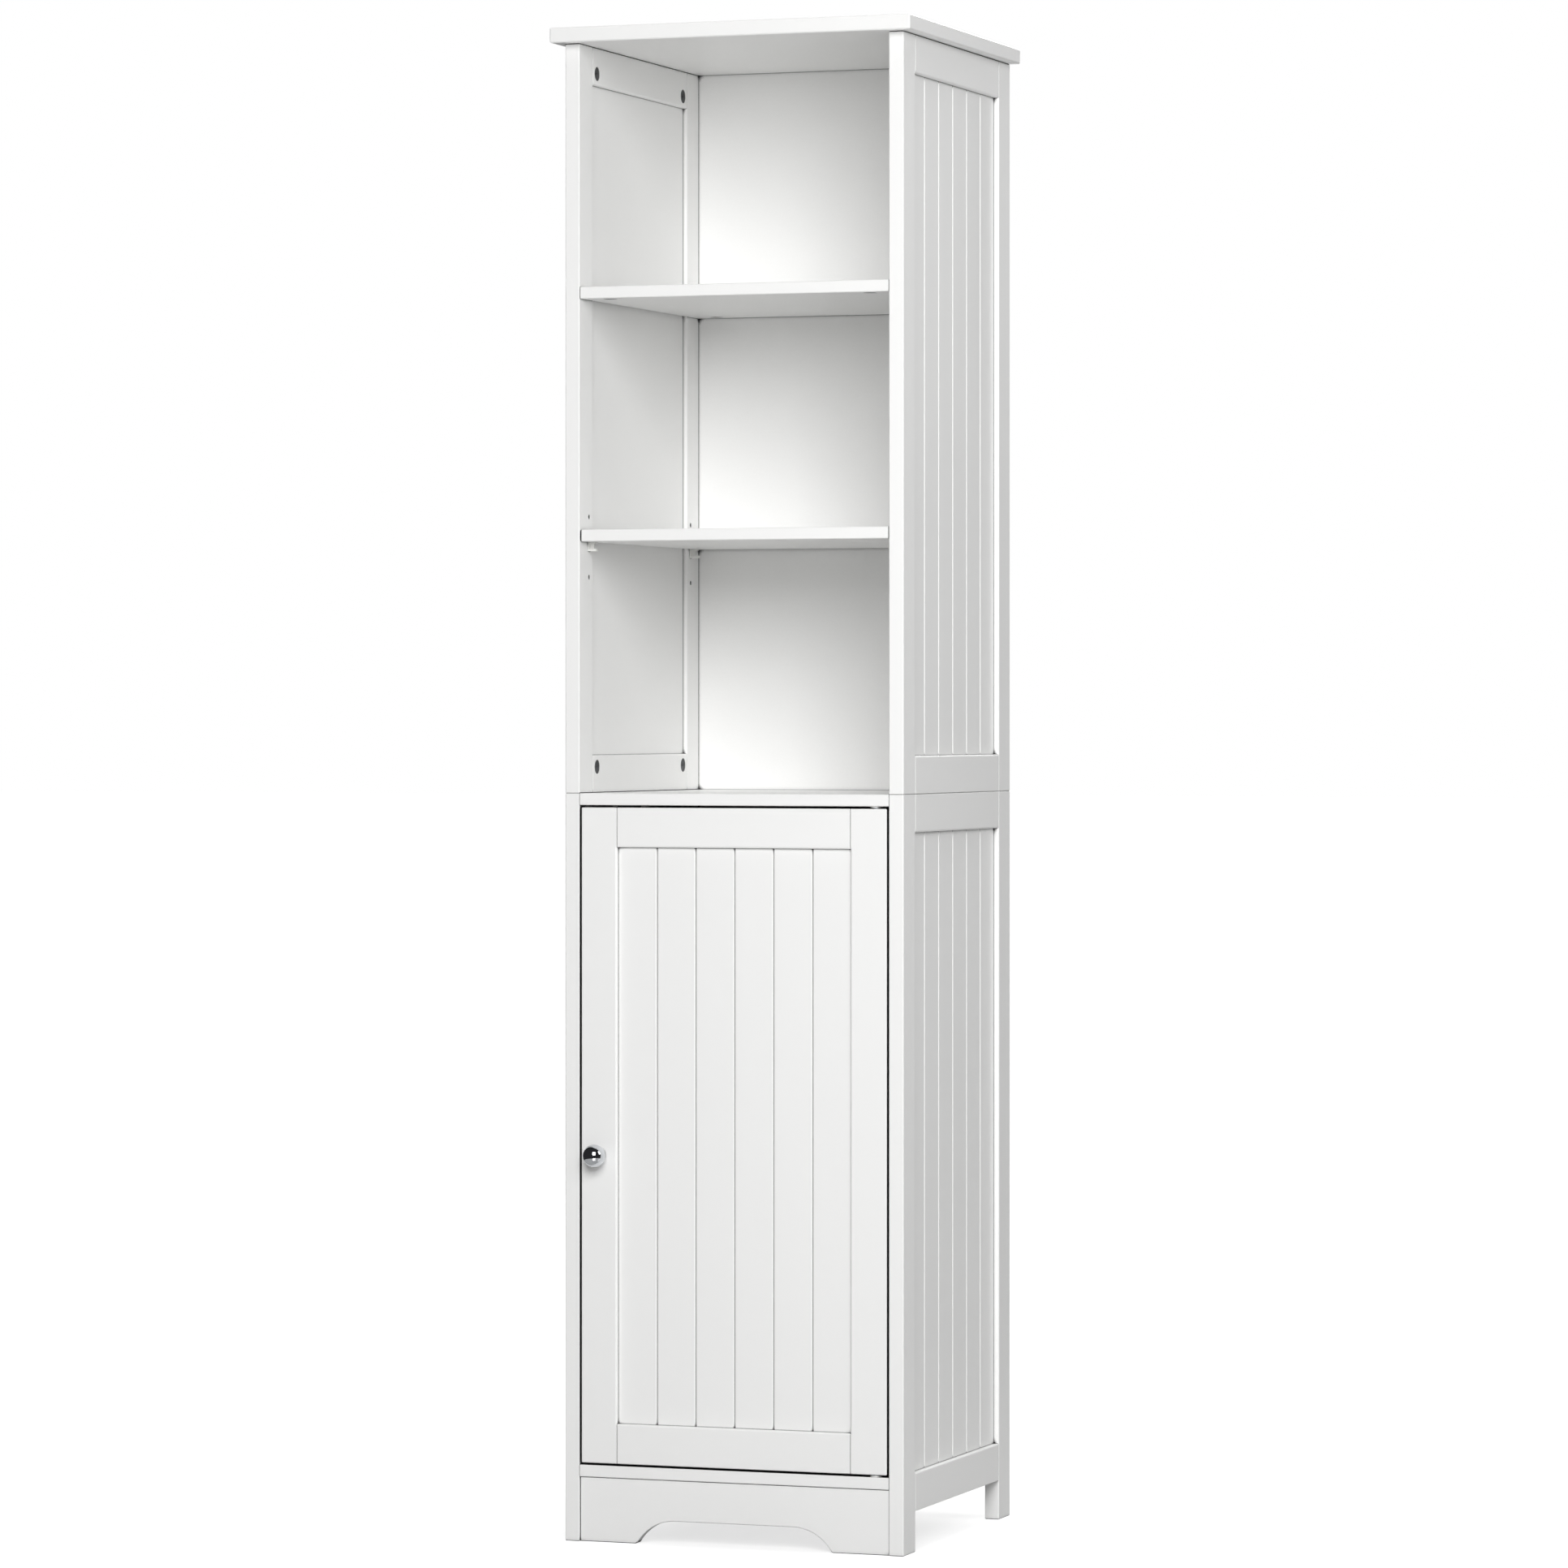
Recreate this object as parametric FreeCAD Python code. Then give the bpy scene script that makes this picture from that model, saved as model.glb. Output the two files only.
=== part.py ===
import FreeCAD, Part
import math
import os

Vector = FreeCAD.Vector

# Carcass: overall height with the top on, width and depth across the side frames
total_height = 1600.0
body_width = 378.0
body_depth = 360.0
# Height of the joint where the upper side frames stand on the lower ones
split_height = 791.0

# Top panel
top_thickness = 16.0
top_side_overhang = 12.0
top_front_overhang = 15.0
top_edge_ease = 1.2

# Boards and thin backs
board_thickness = 12.5
back_thickness = 3.0
back_rebate_width = 8.0
back_play = 0.3
# Sanded and painted arris on every wooden edge
edge_ease = 0.8

# Side frames: stiles and rails round a grooved panel
frame_thickness = 16.0
stile_width = 39.0
rail_width = 40.0
side_panel_recess = 6.0
# Clear height under the bottom rails, where the stiles run on as legs
leg_clearance = 42.5
# Rounding routed round the opening of every frame, on both faces
opening_round = 2.2

# Grooved bead panels, in the side frames and in the door
panel_thickness = 5.0
panel_tongue = 4.0
panel_slot_spare = 0.5
panel_play = 0.1
bead_count = 6
bead_groove_width = 3.2
bead_groove_depth = 1.6

# Bottom board and front apron
bottom_board_height = 68.5
apron_setback = 2.5
arch_flat_width = 132.0
arch_height = 25.0
arch_radius = 50.0
arch_corner_radius = 3.0

# Shelves: how far up their storey each underside lies, setbacks behind the carcass front or the door
fixed_shelf_share = 0.6595
loose_shelf_share = 0.3358
inner_shelf_share = 0.5
fixed_shelf_setback = 1.0
loose_shelf_setback = 2.0
inner_shelf_setback = 11.0
loose_shelf_end_play = 1.0
loose_shelf_back_play = 1.5

# Shelf pins: a round plug, a plate against the stile, a ledge under the shelf, a web and a foot
pin_inset = 28.0
pin_pitch = 32.0
pin_drop = 5.3
pin_plug_diameter = 5.0
pin_plug_length = 8.0
pin_hole_spare = 0.6
pin_width = 8.0
pin_plate_height = 9.8
pin_plate_thickness = 1.8
pin_ledge_reach = 8.0
pin_ledge_thickness = 1.6
pin_foot_reach = 9.5
pin_foot_thickness = 2.6
pin_web_reach = 6.0
pin_web_thickness = 2.4

# Door
door_gap = 2.5
door_thickness = 16.0
door_stile_width = 40.0
door_rail_width = 42.0
door_panel_recess = 5.0

# Knob: ball on a necked foot, held by a screw through the door stile
knob_height = 409.0
knob_ball_diameter = 24.0
knob_ball_reach = 15.0
knob_neck_diameter = 10.0
knob_foot_diameter = 14.0
knob_foot_thickness = 1.6
knob_screw_diameter = 4.0
knob_screw_grip = 10.0
knob_screw_head_diameter = 8.0
knob_screw_head_height = 2.5

# Door pivots: shouldered pins in the door ends, flanged bushes in the boards
pivot_edge_inset = 14.0
pin_shank_diameter = 8.0
pin_shank_length = 20.0
pin_journal_diameter = 6.0
pin_journal_length = 8.0
pin_collar_diameter = 12.0
bush_diameter = 9.0
bush_length = 9.0
bush_flange_diameter = 13.0
bush_flange_thickness = 1.2
pivot_running_clearance = 0.06
pivot_axial_clearance = 0.1

# Cam fittings: a slotted disc in one board and a bolt screwed into the other
cam_diameter = 15.0
cam_setback = 27.5
cam_depth_in_frame = 12.0
cam_depth_in_board = 10.0
cam_face_recess = 1.0
cam_inset = 51.5
board_cam_inset = 80.0
cam_cross_length = 8.0
cam_cross_width = 1.6
cam_cross_depth = 1.2
bolt_thread_diameter = 6.0
bolt_thread_length = 10.0
bolt_shank_diameter = 6.4
bolt_neck_diameter = 3.6
bolt_head_diameter = 6.4
bolt_head_length = 3.0
bolt_neck_length = 5.0

# Wooden dowels
dowel_diameter = 6.0
dowel_length = 30.0
dowel_face_depth = 11.0
board_dowel_inset = 120.0
apron_dowel_heights = (18.0, 50.0)

# Countersunk screws, and the corner blocks behind the apron
screw_diameter = 3.0
screw_length = 14.0
screw_head_diameter = 6.0
screw_head_height = 1.8
back_screw_end_inset = 60.0
back_screw_rows = 3
board_screw_inset = 60.0
block_width = 24.0
block_size = 15.0
block_inset = 70.0
block_screw_offset = 6.0

# Magnetic catch under the deck, and its strike plate on the door
catch_inset = 28.0
catch_width = 40.0
catch_depth = 15.0
catch_height = 12.5
catch_gap = 0.3
catch_screw_inset = 5.0
magnet_width = 18.0
magnet_height = 5.0
magnet_depth = 10.0
pole_thickness = 1.2
strike_width = 26.0
strike_height = 12.0
strike_thickness = 1.2

# Fit of fasteners in their holes, and how far a cutting tool runs past a face
hole_clearance = 0.05
overrun = 1.0

# Places worked out from the sizes above
knob_reach = knob_ball_reach + knob_ball_diameter / 2
front = -(knob_reach + body_depth) / 2 + knob_reach
rear = front + body_depth
back_face = rear - back_thickness
half_width = body_width / 2
inner_x = half_width - frame_thickness
frame_middle_x = half_width - frame_thickness / 2
body_top = total_height - top_thickness
deck_height = split_height - board_thickness
bottom_board_top = bottom_board_height + board_thickness
fixed_shelf_height = split_height + fixed_shelf_share * (body_top - split_height)
loose_shelf_height = split_height + loose_shelf_share * (body_top - split_height)
inner_shelf_height = bottom_board_top + inner_shelf_share * (deck_height - bottom_board_top)
slot_depth = panel_tongue + panel_slot_spare
door_width = 2 * (inner_x - door_gap)
door_bottom = bottom_board_top + door_gap
door_top = deck_height - door_gap
door_back = front + door_thickness
door_left = -inner_x + door_gap
pivot_x = inner_x - door_gap - pivot_edge_inset
pivot_y = front + door_thickness / 2
knob_x = door_left + door_stile_width / 2

SIDES = {"left": -1, "right": 1}
UP = Vector(0, 0, 1)
DOWN = Vector(0, 0, -1)
BACKWARD = Vector(0, 1, 0)
FORWARD = Vector(0, -1, 0)

pieces = {}
groups = {}
cuts = {}


def box(x0, x1, y0, y1, z0, z1):
    return Part.makeBox(x1 - x0, y1 - y0, z1 - z0, Vector(x0, y0, z0))


def eased_box(x0, x1, y0, y1, z0, z1, ease=edge_ease):
    solid = box(x0, x1, y0, y1, z0, z1)
    return solid.makeChamfer(ease, solid.Edges)


def turned(profile, base, axis):
    """A turned solid: profile is a list of (radius, distance along the axis)."""
    points = [Vector(radius, 0, along) for radius, along in profile]
    solid = Part.Face(Part.makePolygon(points + points[:1])).revolve(Vector(), UP, 360)
    solid.Placement = FreeCAD.Placement(base, FreeCAD.Rotation(UP, axis))
    return solid


def bore(radius, depth, mouth, axis):
    """A drill that starts one overrun outside the mouth and goes depth along the axis."""
    return Part.makeCylinder(radius, depth + overrun, mouth - axis * overrun, axis)


def add(name, solid):
    pieces[name] = solid


def add_to_group(name, solid):
    groups.setdefault(name, []).append(solid)


def cut_from(name, tool):
    cuts.setdefault(name, []).append(tool)


def bead_panel(left, right, outer, bottom, top):
    """A thin panel whose outer face has V grooves that part it into equal boards."""
    inner = outer + panel_thickness
    half = bead_groove_width / 2
    pitch = (right - left - 2 * panel_tongue) / bead_count
    points = [Vector(left, outer, bottom)]
    for index in range(1, bead_count):
        middle = left + panel_tongue + index * pitch
        points.append(Vector(middle - half, outer, bottom))
        points.append(Vector(middle, outer + bead_groove_depth, bottom))
        points.append(Vector(middle + half, outer, bottom))
    points.append(Vector(right, outer, bottom))
    points.append(Vector(right, inner, bottom))
    points.append(Vector(left, inner, bottom))
    return Part.Face(Part.makePolygon(points + points[:1])).extrude(UP * (top - bottom))


def upright_edges(solid, x, y):
    """The edges of a solid that stand upright at x, y."""
    found = []
    for edge in solid.Edges:
        ends = edge.Vertexes
        if all(abs(end.X - x) < hole_clearance and abs(end.Y - y) < hole_clearance for end in ends):
            found.append(edge)
    return found


def flared_face(low, high, place):
    """A face from low to high that flares by the routed rounding, laid out by place(along, depth)."""
    waist = opening_round * (1 - math.sqrt(0.5))
    foot = (place(low, opening_round), place(high, opening_round))
    brim = (place(low - opening_round, 0), place(high + opening_round, 0))
    lip = (place(low - opening_round, -overrun), place(high + opening_round, -overrun))
    edges = [Part.Arc(brim[0], place(low - waist, waist), foot[0]).toShape(),
             Part.LineSegment(*foot).toShape(),
             Part.Arc(foot[1], place(high + waist, waist), brim[1]).toShape()]
    edges += Part.makePolygon([brim[1], lip[1], lip[0], brim[0]]).Edges
    return Part.Face(Part.Wire(edges))


def routed_edge(x0, x1, z0, z1, face, into):
    """A plug in an opening whose flare is what a rounding cutter takes off the opening's edge.

    The frame's face lies at y = face, and into is 1 where the wood lies behind it, -1 in front.
    """
    margin = opening_round + overrun
    across = flared_face(x0, x1, lambda along, depth: Vector(along, face + into * depth, z0 - margin))
    upright = flared_face(z0, z1, lambda along, depth: Vector(x0 - margin, face + into * depth, along))
    tall = across.extrude(UP * (z1 - z0 + 2 * margin))
    wide = upright.extrude(Vector(x1 - x0 + 2 * margin, 0, 0))
    return tall.common(wide)


def frame_and_panel(width, bottom, top, foot, stile, rail, thickness, recess):
    """Stiles, rails and panel of one frame, standing with its outer face on y = 0.

    The stiles run from foot to top and the lower rail starts at bottom. Slots along the inner
    edges hold the panel's tongues, and the rails' stub tenons fill the ends of the stile slots.
    """
    slot = (recess - panel_play, recess + panel_thickness + panel_play)
    inner_bottom = bottom + rail
    inner_top = top - rail
    opening = (stile, width - stile, inner_bottom, inner_top)
    rounding = [routed_edge(*opening, 0, 1), routed_edge(*opening, thickness, -1)]
    near = eased_box(0, stile, 0, thickness, foot, top)
    far = eased_box(width - stile, width, 0, thickness, foot, top)
    near_slot = box(stile - slot_depth, stile + overrun, *slot, bottom, top + overrun)
    far_slot = box(width - stile - overrun, width - stile + slot_depth, *slot, bottom, top + overrun)
    near = near.cut([near_slot] + rounding)
    far = far.cut([far_slot] + rounding)

    def rail_between(low, tenon_low, tenon_high, slot_low):
        bar = eased_box(stile, width - stile, 0, thickness, low, low + rail)
        slot_box = box(stile - overrun, width - stile + overrun, *slot,
                       slot_low, slot_low + slot_depth + overrun)
        tenon = box(stile - panel_tongue, width - stile + panel_tongue, recess,
                    recess + panel_thickness, tenon_low, tenon_high)
        return bar.cut([slot_box] + rounding).fuse(tenon).removeSplitter()

    lower = rail_between(bottom, bottom, inner_bottom - slot_depth, inner_bottom - slot_depth)
    upper = rail_between(inner_top, inner_top + slot_depth, top, inner_top - overrun)
    panel = bead_panel(stile - panel_tongue, width - stile + panel_tongue, recess,
                       inner_bottom - panel_tongue, inner_top + panel_tongue)
    return {"near": near, "far": far, "lower": lower, "upper": upper, "panel": panel}


def side_frame(tier, bottom, top, foot, back_bottom):
    """One storey's pair of side frames; the left one is the mirror image of the right."""
    parts = frame_and_panel(body_depth, bottom, top, foot, stile_width, rail_width,
                            frame_thickness, side_panel_recess)
    rebate = box(body_depth - back_thickness, body_depth + overrun, frame_thickness - back_rebate_width,
                 frame_thickness + overrun, back_bottom, top + overrun)
    rear_stile = parts["far"].cut(rebate)
    lip = upright_edges(rear_stile, body_depth - back_thickness, frame_thickness)
    parts["far"] = rear_stile.makeChamfer(edge_ease, lip)
    names = {"near": "front_stile", "far": "rear_stile", "lower": "bottom_rail",
             "upper": "top_rail", "panel": "bead_panel"}
    for key, solid in parts.items():
        turned_solid = solid.copy()
        turned_solid.rotate(Vector(), UP, 90)
        turned_solid.translate(Vector(half_width, front, 0))
        add(f"{tier}_right_{names[key]}", turned_solid)
        add(f"{tier}_left_{names[key]}", turned_solid.mirror(Vector(), Vector(1, 0, 0)))


def boards():
    add("top_panel", eased_box(-half_width - top_side_overhang, half_width + top_side_overhang,
                               front - top_front_overhang, rear, body_top, total_height, top_edge_ease))
    add("deck_board", eased_box(-inner_x, inner_x, front, back_face, deck_height, split_height))
    add("bottom_board", eased_box(-inner_x, inner_x, front, back_face,
                                  bottom_board_height, bottom_board_top))
    add("fixed_shelf", eased_box(-inner_x, inner_x, front + fixed_shelf_setback, back_face,
                                 fixed_shelf_height, fixed_shelf_height + board_thickness))
    loose_x = inner_x - loose_shelf_end_play
    loose_rear = back_face - loose_shelf_back_play
    add("loose_shelf", eased_box(-loose_x, loose_x, front + loose_shelf_setback, loose_rear,
                                 loose_shelf_height, loose_shelf_height + board_thickness))
    add("inner_shelf", eased_box(-loose_x, loose_x, door_back + inner_shelf_setback, loose_rear,
                                 inner_shelf_height, inner_shelf_height + board_thickness))
    back_x = inner_x + back_rebate_width - back_play
    add("upper_back_panel", box(-back_x, back_x, back_face, rear, split_height, body_top))
    add("lower_back_panel", box(-back_x, back_x, back_face, rear, bottom_board_height, split_height))


def front_apron():
    """Plinth board with a flat-topped arch whose corners are quarter-round and meet the floor."""
    y = front + apron_setback
    flat = arch_flat_width / 2
    centre_z = arch_height - arch_radius
    foot = flat + math.sqrt(arch_radius ** 2 - centre_z ** 2)
    half_turn = (math.pi / 2 + math.asin(-centre_z / arch_radius)) / 2
    bulge = Vector(flat + arch_radius * math.cos(half_turn), y,
                   centre_z + arch_radius * math.sin(half_turn))
    mirrored_bulge = Vector(-bulge.x, y, bulge.z)
    corners = [Vector(-foot, y, 0), Vector(-inner_x, y, 0), Vector(-inner_x, y, bottom_board_height),
               Vector(inner_x, y, bottom_board_height), Vector(inner_x, y, 0), Vector(foot, y, 0)]
    edges = [Part.LineSegment(a, b).toShape() for a, b in zip(corners, corners[1:])]
    crown = [Vector(flat, y, arch_height), Vector(-flat, y, arch_height)]
    edges.append(Part.Arc(corners[-1], bulge, crown[0]).toShape())
    edges.append(Part.LineSegment(*crown).toShape())
    edges.append(Part.Arc(crown[1], mirrored_bulge, corners[0]).toShape())
    solid = Part.Face(Part.Wire(edges)).extrude(BACKWARD * board_thickness)
    tips = []
    for edge in solid.Edges:
        ends = edge.Vertexes
        if all(abs(abs(end.X) - foot) < hole_clearance and abs(end.Z) < hole_clearance for end in ends):
            tips.append(edge)
    solid = solid.makeFillet(arch_corner_radius, tips)
    outline = [edge for edge in solid.Edges if edge.BoundBox.YLength < hole_clearance]
    add("front_apron", solid.makeChamfer(edge_ease, outline))


def cam_joint(cam_host, bolt_host, mouth, into_host, drill, axis_depth, cam_depth):
    """A cam in cam_host that draws in a bolt screwed into bolt_host.

    mouth is where the bolt crosses the joint, into_host points from there into the cam's board,
    and drill is the way the cam's hole goes in from the board's face.
    """
    centre = mouth + into_host * cam_setback
    face = centre - drill * axis_depth
    across = into_host.cross(drill)
    radius = cam_diameter / 2
    head_room = bolt_head_diameter / 2 + hole_clearance
    cut_from(cam_host, bore(radius + hole_clearance, cam_depth + hole_clearance, face, drill))
    disc = Part.makeCylinder(radius, cam_depth - cam_face_recess, face + drill * cam_face_recess, drill)
    pocket = Part.makeCylinder(head_room, bolt_head_length / 2 + hole_clearance, centre, into_host)
    channel = Part.makeCylinder(head_room, radius + overrun, centre, -into_host)
    cross = []
    for long_way, short_way in ((into_host, across), (across, into_host)):
        along = long_way * cam_cross_length
        beside = short_way * cam_cross_width
        corner = face - drill * overrun - (along + beside) / 2
        outline = [corner, corner + along, corner + along + beside, corner + beside, corner]
        depth = overrun + cam_face_recess + cam_cross_depth
        cross.append(Part.Face(Part.makePolygon(outline)).extrude(drill * depth))
    add_to_group("cam_locks", disc.cut([pocket, channel] + cross))

    head_end = cam_setback + bolt_head_length / 2
    neck_end = cam_setback - bolt_head_length / 2
    shank_end = neck_end - bolt_neck_length
    thread = bolt_thread_diameter / 2
    shank = bolt_shank_diameter / 2
    neck = bolt_neck_diameter / 2
    head = bolt_head_diameter / 2
    profile = [(0, -bolt_thread_length), (thread, -bolt_thread_length), (thread, 0), (shank, 0),
               (shank, shank_end), (neck, shank_end), (neck, neck_end), (head, neck_end),
               (head, head_end), (0, head_end)]
    add_to_group("cam_bolts", turned(profile, mouth, into_host))
    thread_depth = bolt_thread_length + hole_clearance
    cut_from(bolt_host, bore(thread + hole_clearance, thread_depth, mouth, -into_host))
    cut_from(cam_host, bore(shank + hole_clearance, cam_setback, mouth, into_host))


def dowel_joint(face_host, end_host, mouth, into_end):
    """A dowel that goes dowel_face_depth into face_host and the rest of its length into end_host."""
    radius = dowel_diameter / 2
    end_depth = dowel_length - dowel_face_depth
    start = mouth - into_end * dowel_face_depth
    add_to_group("wood_dowels", Part.makeCylinder(radius, dowel_length, start, into_end))
    hole = radius + hole_clearance
    cut_from(face_host, bore(hole, dowel_face_depth + hole_clearance, mouth, -into_end))
    cut_from(end_host, bore(hole, end_depth + hole_clearance, mouth, into_end))


def carcass_joints():
    cam_rows = (front + cam_inset, rear - cam_inset)
    stile_rows = (front + stile_width / 2, rear - stile_width / 2)
    stile_names = ("front_stile", "rear_stile")
    for side, sign in SIDES.items():
        outward = Vector(sign, 0, 0)
        for y in cam_rows:
            cam_joint(f"upper_{side}_top_rail", "top_panel", Vector(sign * frame_middle_x, y, body_top),
                      DOWN, outward, frame_thickness / 2, cam_depth_in_frame)
            cam_joint(f"upper_{side}_bottom_rail", f"lower_{side}_top_rail",
                      Vector(sign * frame_middle_x, y, split_height),
                      UP, outward, frame_thickness / 2, cam_depth_in_frame)
        for y, stile in zip(stile_rows, stile_names):
            upper_stile = f"upper_{side}_{stile}"
            dowel_joint("top_panel", upper_stile, Vector(sign * frame_middle_x, y, body_top), DOWN)
            dowel_joint(f"lower_{side}_{stile}", upper_stile,
                        Vector(sign * frame_middle_x, y, split_height), UP)
            cam_joint("fixed_shelf", upper_stile,
                      Vector(sign * inner_x, y, fixed_shelf_height + board_thickness / 2),
                      -outward, UP, board_thickness / 2, cam_depth_in_board)
        rows = (("deck_board", "top_rail", deck_height),
                ("bottom_board", "bottom_rail", bottom_board_height))
        for board, rail, height in rows:
            middle_z = height + board_thickness / 2
            for y in (front + board_cam_inset, rear - board_cam_inset):
                cam_joint(board, f"lower_{side}_{rail}", Vector(sign * inner_x, y, middle_z),
                          -outward, UP, board_thickness / 2, cam_depth_in_board)
            for y in (front + board_dowel_inset, rear - board_dowel_inset):
                dowel_joint(f"lower_{side}_{rail}", board, Vector(sign * inner_x, y, middle_z), -outward)
        apron_y = front + apron_setback + board_thickness / 2
        for z in apron_dowel_heights:
            dowel_joint(f"lower_{side}_front_stile", "front_apron",
                        Vector(sign * inner_x, apron_y, z), -outward)


def screw(group, hosts, mouth, into, length=screw_length):
    """A countersunk screw with its head flush at mouth; each host gets its hole and head seat."""
    shank = screw_diameter / 2
    head = screw_head_diameter / 2
    profile = [(0, 0), (head, 0), (shank, screw_head_height), (shank, length), (0, length)]
    add_to_group(group, turned(profile, mouth, into))
    seat = [(0, -overrun), (head + hole_clearance, -overrun), (head + hole_clearance, 0),
            (shank + hole_clearance, screw_head_height), (shank + hole_clearance, length + hole_clearance),
            (0, length + hole_clearance)]
    for host in hosts:
        cut_from(host, turned(seat, mouth, into))


def back_screws():
    edge_x = inner_x + back_rebate_width / 2
    storeys = (("upper", split_height, body_top), ("lower", bottom_board_height, split_height))
    for tier, low, high in storeys:
        span = high - low - 2 * back_screw_end_inset
        for side, sign in SIDES.items():
            for index in range(back_screw_rows):
                z = low + back_screw_end_inset + span * index / (back_screw_rows - 1)
                screw("back_screws", (f"{tier}_back_panel", f"{tier}_{side}_rear_stile"),
                      Vector(sign * edge_x, rear, z), FORWARD)
    rows = (("upper_back_panel", "fixed_shelf", fixed_shelf_height),
            ("lower_back_panel", "deck_board", deck_height),
            ("lower_back_panel", "bottom_board", bottom_board_height))
    for panel, board, height in rows:
        for x in (board_screw_inset - inner_x, inner_x - board_screw_inset):
            screw("back_screws", (panel, board), Vector(x, rear, height + board_thickness / 2), FORWARD)


def corner_blocks():
    """Two plastic blocks that screw the apron to the underside of the bottom board."""
    y0 = front + apron_setback + board_thickness
    z1 = bottom_board_height
    for sign in SIDES.values():
        x = sign * (inner_x - block_inset)
        half = block_width / 2
        add_to_group("corner_blocks", eased_box(x - half, x + half, y0, y0 + block_size,
                                                z1 - block_size, z1))
        middle = block_size / 2
        reach = block_size + board_thickness / 2
        screw("block_screws", ("corner_blocks", "bottom_board"),
              Vector(x - block_screw_offset, y0 + middle, z1 - block_size), UP, reach)
        screw("block_screws", ("corner_blocks", "front_apron"),
              Vector(x + block_screw_offset, y0 + block_size, z1 - middle), FORWARD, reach)


def shelf_pin(stile, sign, y, shelf_height):
    """A pin that plugs into a stile: plate, ledge under the shelf, foot, and a web between them."""
    outward = Vector(sign, 0, 0)
    axis_z = shelf_height - pin_drop
    radius = pin_plug_diameter / 2
    plug = Part.makeCylinder(radius, pin_plug_length, Vector(sign * inner_x, y, axis_z), outward)
    half = pin_width / 2
    web_half = pin_web_thickness / 2
    underside = shelf_height - pin_plate_height
    plate = box(inner_x - pin_plate_thickness, inner_x, y - half, y + half, underside, shelf_height)
    ledge = box(inner_x - pin_ledge_reach, inner_x, y - half, y + half,
                shelf_height - pin_ledge_thickness, shelf_height)
    web = box(inner_x - pin_web_reach, inner_x, y - web_half, y + web_half, underside, shelf_height)
    foot = box(inner_x - pin_foot_reach, inner_x, y - half, y + half,
               underside, underside + pin_foot_thickness)
    body = plate.fuse([ledge, web, foot]).removeSplitter()
    if sign < 0:
        body = body.mirror(Vector(), Vector(1, 0, 0))
    add_to_group("shelf_pins", body.fuse(plug).removeSplitter())
    for row in (-1, 0, 1):
        mouth = Vector(sign * inner_x, y, axis_z + row * pin_pitch)
        cut_from(stile, bore(radius + hole_clearance, pin_plug_length + pin_hole_spare, mouth, outward))


def shelf_pins():
    rows = (("front_stile", front + pin_inset), ("rear_stile", rear - pin_inset))
    for side, sign in SIDES.items():
        for stile, y in rows:
            shelf_pin(f"upper_{side}_{stile}", sign, y, loose_shelf_height)
            shelf_pin(f"lower_{side}_{stile}", sign, y, inner_shelf_height)


def door():
    parts = frame_and_panel(door_width, door_bottom, door_top, door_bottom, door_stile_width,
                            door_rail_width, door_thickness, door_panel_recess)
    names = {"near": "door_left_stile", "far": "door_right_stile", "lower": "door_bottom_rail",
             "upper": "door_top_rail", "panel": "door_bead_panel"}
    for key, solid in parts.items():
        solid.translate(Vector(door_left, front, 0))
        add(names[key], solid)


def knob():
    """Ball turned in one piece with its neck and foot, and the screw that holds it."""
    ball = knob_ball_diameter / 2
    neck = knob_neck_diameter / 2
    foot = knob_foot_diameter / 2
    thread = knob_screw_diameter / 2
    neck_meets_ball = knob_ball_reach - math.sqrt(ball ** 2 - neck ** 2)
    tip = knob_ball_reach + ball
    grip_end = knob_screw_grip + hole_clearance
    hole = thread + hole_clearance
    lines = [Vector(0, 0, tip), Vector(0, 0, grip_end), Vector(hole, 0, grip_end), Vector(hole, 0, 0),
             Vector(foot, 0, 0), Vector(foot, 0, knob_foot_thickness),
             Vector(neck, 0, knob_foot_thickness), Vector(neck, 0, neck_meets_ball)]
    edges = [Part.LineSegment(a, b).toShape() for a, b in zip(lines, lines[1:])]
    edges.append(Part.Arc(lines[-1], Vector(ball, 0, knob_ball_reach), lines[0]).toShape())
    solid = Part.Face(Part.Wire(edges)).revolve(Vector(), UP, 360)
    seat = Vector(knob_x, front, knob_height)
    solid.Placement = FreeCAD.Placement(seat, FreeCAD.Rotation(UP, FORWARD))
    add("door_knob", solid)

    head = knob_screw_head_diameter / 2
    length = door_thickness + knob_screw_grip
    profile = [(0, -knob_screw_head_height), (head - edge_ease, -knob_screw_head_height),
               (head, edge_ease - knob_screw_head_height), (head, 0), (thread, 0), (thread, length),
               (0, length)]
    back_seat = seat + BACKWARD * door_thickness
    add("knob_screw", turned(profile, back_seat, FORWARD))
    cut_from("door_left_stile", bore(hole, door_thickness + overrun, back_seat, FORWARD))


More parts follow.
